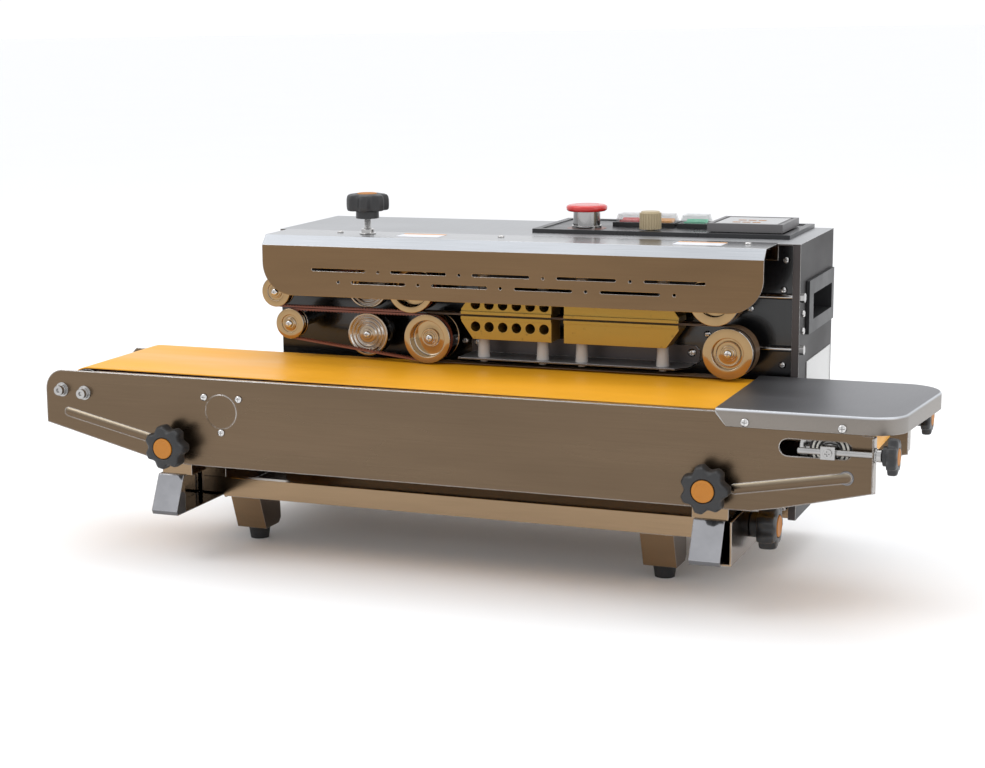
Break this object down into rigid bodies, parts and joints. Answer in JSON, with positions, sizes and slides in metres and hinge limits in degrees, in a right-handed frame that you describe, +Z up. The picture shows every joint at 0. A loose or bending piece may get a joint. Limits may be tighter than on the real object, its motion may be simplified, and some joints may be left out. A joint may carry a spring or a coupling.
{
  "type": "continuous band sealer",
  "caption": "Bench-top continuous band sealer: belt conveyor in front of a hooded sealing head with press wheels, bands, heating and cooling blocks.",
  "frame": {"origin": "centre of the overall footprint on the floor, under the four rubber feet", "axes": "+X along the belt towards the end table, +Y from the belt unit towards the back of the head, +Z up"},
  "size_m": [0.84, 0.3469, 0.346],
  "materials": {
    "stainless": "brushed",
    "polished_steel": "polished",
    "black_paint": "satin",
    "black_plastic": "matte",
    "black_rubber": "matte",
    "orange_belt": "satin",
    "red_brown_belt": "matte",
    "brown_band": "satin",
    "gold_anodised": "anodised satin",
    "white_ceramic": "satin",
    "red_plastic": "gloss",
    "amber_plastic": "gloss",
    "green_plastic": "gloss",
    "beige_plastic": "matte",
    "grey_plastic": "matte",
    "grey_paint": "satin",
    "white_label": "satin",
    "clear_plastic": "clear gloss"
  },
  "bodies": {
    "head": {"base_frame": "stainless", "rail_guard": "stainless", "leg_brackets": "stainless", "rubber_feet": "black_rubber", "body_shell": "stainless", "front_panel": "black_paint", "rear_cover": "stainless", "hood": "stainless", "side_handles": "black_plastic", "rating_plate": "white_label", "control_plate": "black_paint", "estop_collar": "polished_steel", "switch_bezels": "black_plastic", "switch_covers": "clear_plastic", "temperature_controller": "grey_plastic", "power_inlet": "black_plastic", "sealing_bands": "brown_band", "guide_belts": "red_brown_belt", "cooling_blocks": "gold_anodised", "heating_blocks": "gold_anodised", "block_standoffs": "white_ceramic", "block_brackets": "stainless", "bearing_housings": "black_paint", "idler_tension_links": "polished_steel", "gearbox": "grey_paint", "drive_motor": "grey_paint", "body_screws": "polished_steel"},
    "estop": {"estop_button": "red_plastic"},
    "red_switch": {"rocker_red": "red_plastic"},
    "amber_switch": {"rocker_amber": "amber_plastic"},
    "green_switch": {"rocker_green": "green_plastic"},
    "speed_dial": {"speed_knob": "beige_plastic"},
    "pressure_screw": {"pressure_knob": "black_plastic"},
    "press_arm": {"press_fork": "black_paint"},
    "upper_press": {"press_wheel_upper": "polished_steel"},
    "lower_press": {"press_wheel_lower": "polished_steel"},
    "upper_drive": {"drive_wheel_upper": "polished_steel"},
    "lower_drive": {"drive_wheel_lower": "polished_steel"},
    "upper_idler": {"idler_wheel_upper": "polished_steel"},
    "lower_idler": {"idler_wheel_lower": "polished_steel"},
    "upper_guide": {"guide_pulley_upper": "polished_steel"},
    "lower_guide": {"guide_pulley_lower": "polished_steel"},
    "carriage": {"slide_rails": "polished_steel", "uprights": "stainless"},
    "conveyor": {"side_plate_front": "stainless", "side_plate_rear": "stainless", "slider_bed": "stainless", "end_table": "stainless", "conveyor_belt": "orange_belt", "axle_hardware": "polished_steel", "plate_screws": "polished_steel", "conveyor_motor": "grey_paint"},
    "belt_drive_roller": {"drive_roller": "polished_steel"},
    "takeup": {"takeup_carriage": "polished_steel"},
    "belt_tail_roller": {"tail_roller": "polished_steel"},
    "left_clamp": {"clamp_knob_left": "black_plastic"},
    "right_clamp": {"clamp_knob_right": "black_plastic"},
    "rail_clamp": {"rail_knob": "black_plastic"},
    "front_tensioner": {"tension_knob_front": "black_plastic"},
    "rear_tensioner": {"tension_knob_rear": "black_plastic"}
  },
  "joints": [
    {"name": "conveyor_depth", "type": "slide", "parent": "head", "child": "carriage", "axis": [0, -1, 0], "range_m": [0, 0.06]},
    {"name": "conveyor_height", "type": "slide", "parent": "carriage", "child": "conveyor", "axis": [0, 0, 1], "range_m": [-0.009, 0.001]},
    {"name": "belt_drive_spin", "type": "hinge", "parent": "conveyor", "child": "belt_drive_roller", "pos_m": [-0.376, -0.066, 0.159], "axis": [0, 1, 0], "continuous": true},
    {"name": "belt_takeup", "type": "slide", "parent": "conveyor", "child": "takeup", "axis": [-1, 0, 0], "range_m": [0, 0.008]},
    {"name": "belt_tail_spin", "type": "hinge", "parent": "takeup", "child": "belt_tail_roller", "pos_m": [0.35, -0.066, 0.1525], "axis": [0, 1, 0], "continuous": true},
    {"name": "tension_front_turn", "type": "hinge", "parent": "conveyor", "child": "front_tensioner", "pos_m": [0.395, -0.153, 0.1525], "axis": [1, 0, 0], "range_deg": [0, 2880]},
    {"name": "tension_rear_turn", "type": "hinge", "parent": "conveyor", "child": "rear_tensioner", "pos_m": [0.395, 0.0245, 0.1525], "axis": [1, 0, 0], "range_deg": [0, 2880]},
    {"name": "left_clamp_turn", "type": "hinge", "parent": "conveyor", "child": "left_clamp", "pos_m": [-0.276, -0.157, 0.115], "axis": [0, -1, 0], "range_deg": [0, 720]},
    {"name": "right_clamp_turn", "type": "hinge", "parent": "conveyor", "child": "right_clamp", "pos_m": [0.2484, -0.157, 0.115], "axis": [0, -1, 0], "range_deg": [0, 720]},
    {"name": "rail_clamp_turn", "type": "hinge", "parent": "head", "child": "rail_clamp", "pos_m": [0.28, -0.077, 0.066], "axis": [1, 0, 0], "range_deg": [0, 720]},
    {"name": "lower_drive_spin", "type": "hinge", "parent": "head", "child": "lower_drive", "pos_m": [-0.0662, -0.004, 0.2075], "axis": [0, 1, 0], "continuous": true},
    {"name": "upper_drive_spin", "type": "hinge", "parent": "head", "child": "upper_drive", "pos_m": [-0.083, -0.004, 0.256], "axis": [0, 1, 0], "continuous": true},
    {"name": "lower_idler_spin", "type": "hinge", "parent": "head", "child": "lower_idler", "pos_m": [0.2299, -0.004, 0.2075], "axis": [0, 1, 0], "continuous": true},
    {"name": "upper_idler_spin", "type": "hinge", "parent": "head", "child": "upper_idler", "pos_m": [0.2168, -0.004, 0.256], "axis": [0, 1, 0], "continuous": true},
    {"name": "lower_guide_spin", "type": "hinge", "parent": "head", "child": "lower_guide", "pos_m": [-0.214, -0.011, 0.216], "axis": [0, 1, 0], "continuous": true},
    {"name": "upper_guide_spin", "type": "hinge", "parent": "head", "child": "upper_guide", "pos_m": [-0.229, -0.011, 0.2475], "axis": [0, 1, 0], "continuous": true},
    {"name": "lower_press_spin", "type": "hinge", "parent": "head", "child": "lower_press", "pos_m": [-0.1335, -0.001, 0.20755], "axis": [0, 1, 0], "continuous": true},
    {"name": "press_arm_slide", "type": "slide", "parent": "head", "child": "press_arm", "axis": [0, 0, -1], "range_m": [0, 0.003]},
    {"name": "upper_press_spin", "type": "hinge", "parent": "press_arm", "child": "upper_press", "pos_m": [-0.1335, -0.001, 0.25475], "axis": [0, 1, 0], "continuous": true},
    {"name": "pressure_turn", "type": "hinge", "parent": "press_arm", "child": "pressure_screw", "pos_m": [-0.1385, 0.009, 0.33], "axis": [0, 0, -1], "range_deg": [0, 1080]},
    {"name": "estop_press", "type": "slide", "parent": "head", "child": "estop", "axis": [0, 0, -1], "range_m": [0, 0.0032], "stiffness_N_per_m": 3000},
    {"name": "red_rocker", "type": "hinge", "parent": "head", "child": "red_switch", "pos_m": [0.0976, 0.123, 0.3065], "axis": [-1, 0, 0], "range_deg": [0, 14]},
    {"name": "amber_rocker", "type": "hinge", "parent": "head", "child": "amber_switch", "pos_m": [0.1289, 0.123, 0.3065], "axis": [-1, 0, 0], "range_deg": [0, 14]},
    {"name": "green_rocker", "type": "hinge", "parent": "head", "child": "green_switch", "pos_m": [0.1627, 0.123, 0.3065], "axis": [-1, 0, 0], "range_deg": [0, 14]},
    {"name": "speed_turn", "type": "hinge", "parent": "head", "child": "speed_dial", "pos_m": [0.129, 0.079, 0.3175], "axis": [0, 0, -1], "range_deg": [0, 280]}
  ],
  "couplings": [
    {"joint": "belt_tail_spin", "follows": "belt_drive_spin", "ratio": 0.83784},
    {"joint": "tension_front_turn", "follows": "belt_takeup", "rad_per_m": 6283.2},
    {"joint": "tension_rear_turn", "follows": "belt_takeup", "rad_per_m": 6283.2},
    {"joint": "upper_drive_spin", "follows": "lower_drive_spin", "ratio": -1},
    {"joint": "lower_idler_spin", "follows": "lower_drive_spin", "ratio": 1},
    {"joint": "upper_idler_spin", "follows": "lower_drive_spin", "ratio": -1},
    {"joint": "lower_guide_spin", "follows": "lower_drive_spin", "ratio": 1.6007},
    {"joint": "upper_guide_spin", "follows": "lower_drive_spin", "ratio": -1.6007},
    {"joint": "lower_press_spin", "follows": "lower_drive_spin", "ratio": 1.1215},
    {"joint": "upper_press_spin", "follows": "lower_drive_spin", "ratio": -1.1215},
    {"joint": "pressure_turn", "follows": "press_arm_slide", "rad_per_m": 6283.2}
  ]
}
